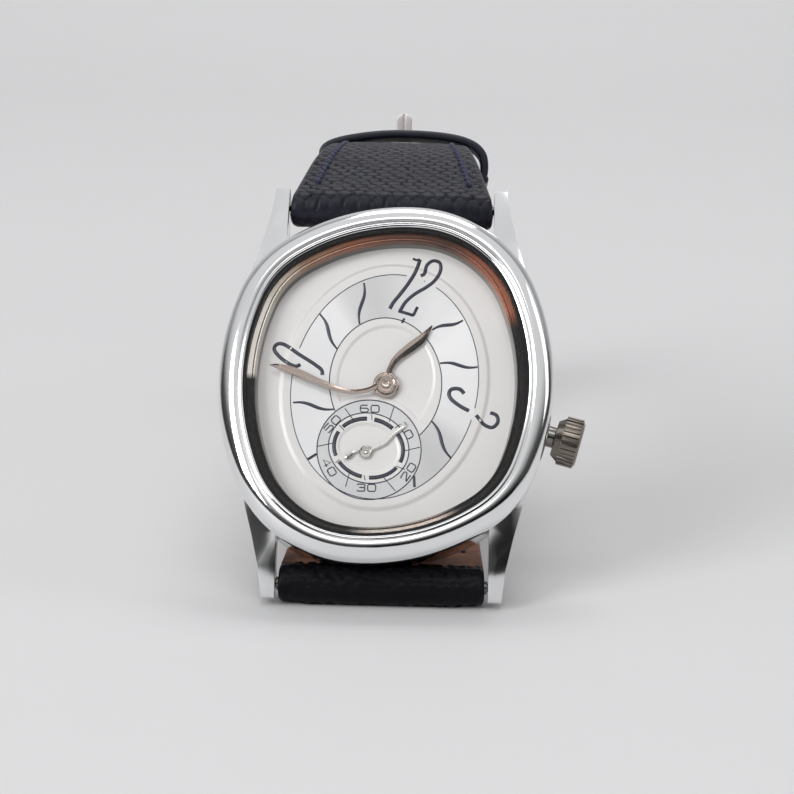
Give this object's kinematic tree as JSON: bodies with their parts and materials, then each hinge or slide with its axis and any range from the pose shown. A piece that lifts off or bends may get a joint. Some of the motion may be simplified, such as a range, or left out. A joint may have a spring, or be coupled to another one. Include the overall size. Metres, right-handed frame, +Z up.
{
  "type": "wristwatch",
  "caption": "Oval dress watch with a turned face, small seconds and a long-lugged polished case, standing open on a padded leather strap with a pin buckle.",
  "frame": {"origin": "middle of the flat stretch of the long strap that rests on the table", "axes": "+Z up from the table, +Y along the strap away from the face, +X to the crown side"},
  "size_m": [0.0418, 0.1064, 0.0487],
  "materials": {
    "steel": "polished steel",
    "steel_dark": "plain steel",
    "glass": "clear sapphire",
    "seal": "black rubber",
    "rehaut": "polished",
    "dial_paint": "opaline silvered dial",
    "hand_rose": "polished rose steel",
    "hand_silver": "polished",
    "holder": "moulded",
    "plate": "grained, plated",
    "brass": "gilt",
    "wheel_steel": "polished steel",
    "strap_leather": "grained lizard",
    "lining": "suede",
    "keeper_leather": "smooth"
  },
  "bodies": {
    "case": {"case_middle": "steel", "bezel": "steel", "crystal": "glass", "crystal_gasket": "seal", "rehaut_ring": "rehaut", "dial": "dial_paint", "case_back": "steel", "case_back_gasket": "seal", "case_back_screws": "steel_dark", "movement_holder": "holder", "mainplate": "plate", "barrel_bridge": "plate", "train_bridge": "plate", "balance_cock": "plate", "bridge_screws": "steel_dark", "hairspring": "wheel_steel", "crown_tube": "steel_dark", "spring_bar_upper": "steel_dark", "spring_bar_lower": "steel_dark"},
    "short_strap": {"short_strap_leather": "strap_leather", "short_strap_lining": "lining", "fixed_keeper": "keeper_leather"},
    "long_strap": {"long_strap_leather": "strap_leather", "long_strap_lining": "lining"},
    "free_keeper": {"free_keeper": "keeper_leather"},
    "buckle": {"buckle_frame": "steel", "buckle_bar": "steel_dark"},
    "tongue": {"buckle_tongue": "steel"},
    "stem": {"winding_stem": "steel_dark"},
    "crown": {"crown": "steel", "crown_gasket": "seal"},
    "minute": {"minute_hand": "hand_rose", "cannon_pinion": "wheel_steel", "centre_wheel": "brass"},
    "hour": {"hour_hand": "hand_rose", "hour_wheel": "brass"},
    "seconds": {"seconds_hand": "hand_silver", "fourth_wheel": "brass"},
    "third": {"third_wheel": "brass"},
    "barrel": {"barrel": "brass"},
    "motion": {"minute_wheel": "brass"},
    "ratchet": {"ratchet_wheel": "wheel_steel"},
    "crown_wheel": {"crown_wheel": "wheel_steel"},
    "escape": {"escape_wheel": "brass"},
    "fork": {"pallet_fork": "wheel_steel"},
    "balance": {"balance_wheel": "brass"},
    "tip_upper_left": {"bar_tip_upper_left": "steel_dark"},
    "tip_upper_right": {"bar_tip_upper_right": "steel_dark"},
    "tip_lower_left": {"bar_tip_lower_left": "steel_dark"},
    "tip_lower_right": {"bar_tip_lower_right": "steel_dark"}
  },
  "joints": [
    {"name": "short_strap_swing", "type": "hinge", "parent": "case", "child": "short_strap", "pos_m": [0, -0.00794, 0.0419], "axis": [1, 0, 0], "range_deg": [-10, 50]},
    {"name": "long_strap_swing", "type": "hinge", "parent": "case", "child": "long_strap", "pos_m": [0, -0.0287, 0.0022], "axis": [1, 0, 0], "range_deg": [-115, 0]},
    {"name": "free_keeper_slide", "type": "slide", "parent": "short_strap", "child": "free_keeper", "axis": [0, 0.9669, -0.2552], "range_m": [-0.004, 0.008]},
    {"name": "buckle_swing", "type": "hinge", "parent": "short_strap", "child": "buckle", "pos_m": [0, 0.05076, 0.03514], "axis": [1, 0, 0], "range_deg": [-30, 15]},
    {"name": "tongue_swing", "type": "hinge", "parent": "buckle", "child": "tongue", "pos_m": [0, 0.05076, 0.03514], "axis": [1, 0, 0], "range_deg": [-99, 5]},
    {"name": "crown_pull", "type": "slide", "parent": "case", "child": "stem", "axis": [0.9659, -0.1199, -0.2294], "range_m": [0, 0.001]},
    {"name": "crown_turn", "type": "hinge", "parent": "stem", "child": "crown", "pos_m": [0.02125, -0.0222, 0.01765], "axis": [0.9659, -0.1199, -0.2294], "continuous": true},
    {"name": "minute_turn", "type": "hinge", "parent": "case", "child": "minute", "pos_m": [0, -0.02222, 0.02409], "axis": [0, -0.8862, 0.4633], "continuous": true},
    {"name": "hour_turn", "type": "hinge", "parent": "case", "child": "hour", "pos_m": [0, -0.02178, 0.02386], "axis": [0, -0.8862, 0.4633], "continuous": true},
    {"name": "seconds_turn", "type": "hinge", "parent": "case", "child": "seconds", "pos_m": [-0.0021, -0.02523, 0.01683], "axis": [0, -0.8862, 0.4633], "continuous": true},
    {"name": "third_turn", "type": "hinge", "parent": "case", "child": "third", "pos_m": [-0.00542, -0.0208, 0.01926], "axis": [0, -0.8862, 0.4633], "continuous": true},
    {"name": "barrel_turn", "type": "hinge", "parent": "case", "child": "barrel", "pos_m": [-0.00058, -0.01558, 0.02815], "axis": [0, -0.8862, 0.4633], "continuous": true},
    {"name": "minute_wheel_turn", "type": "hinge", "parent": "case", "child": "motion", "pos_m": [0.0029, -0.02018, 0.0239], "axis": [0, -0.8862, 0.4633], "continuous": true},
    {"name": "ratchet_turn", "type": "hinge", "parent": "case", "child": "ratchet", "pos_m": [-0.00058, -0.01452, 0.0276], "axis": [0, -0.8862, 0.4633], "continuous": true},
    {"name": "crown_wheel_turn", "type": "hinge", "parent": "case", "child": "crown_wheel", "pos_m": [0.00732, -0.01641, 0.02398], "axis": [0, -0.8862, 0.4633], "continuous": true},
    {"name": "escape_turn", "type": "hinge", "parent": "case", "child": "escape", "pos_m": [0.00163, -0.02382, 0.01347], "axis": [0, -0.8862, 0.4633], "continuous": true},
    {"name": "fork_swing", "type": "hinge", "parent": "case", "child": "fork", "pos_m": [0.00396, -0.02283, 0.01538], "axis": [0, -0.8862, 0.4633], "range_deg": [-4, 4]},
    {"name": "balance_swing", "type": "hinge", "parent": "case", "child": "balance", "pos_m": [0.00555, -0.0209, 0.01798], "axis": [0, -0.8862, 0.4633], "range_deg": [-150, 150], "stiffness_Nm_per_rad": 0.00000025},
    {"name": "bar_tip_upper_left_push", "type": "slide", "parent": "case", "child": "tip_upper_left", "axis": [1, 0, 0], "range_m": [0, 0.0009], "stiffness_N_per_m": 300},
    {"name": "bar_tip_upper_right_push", "type": "slide", "parent": "case", "child": "tip_upper_right", "axis": [-1, 0, 0], "range_m": [0, 0.0009], "stiffness_N_per_m": 300},
    {"name": "bar_tip_lower_left_push", "type": "slide", "parent": "case", "child": "tip_lower_left", "axis": [1, 0, 0], "range_m": [0, 0.0009], "stiffness_N_per_m": 300},
    {"name": "bar_tip_lower_right_push", "type": "slide", "parent": "case", "child": "tip_lower_right", "axis": [-1, 0, 0], "range_m": [0, 0.0009], "stiffness_N_per_m": 300}
  ],
  "couplings": [
    {"joint": "hour_turn", "follows": "minute_turn", "ratio": 0.083333},
    {"joint": "seconds_turn", "follows": "minute_turn", "ratio": 60},
    {"joint": "third_turn", "follows": "minute_turn", "ratio": -8},
    {"joint": "barrel_turn", "follows": "minute_turn", "ratio": -0.16667},
    {"joint": "minute_wheel_turn", "follows": "minute_turn", "ratio": -0.33333},
    {"joint": "crown_wheel_turn", "follows": "ratchet_turn", "ratio": -1.3333}
  ]
}
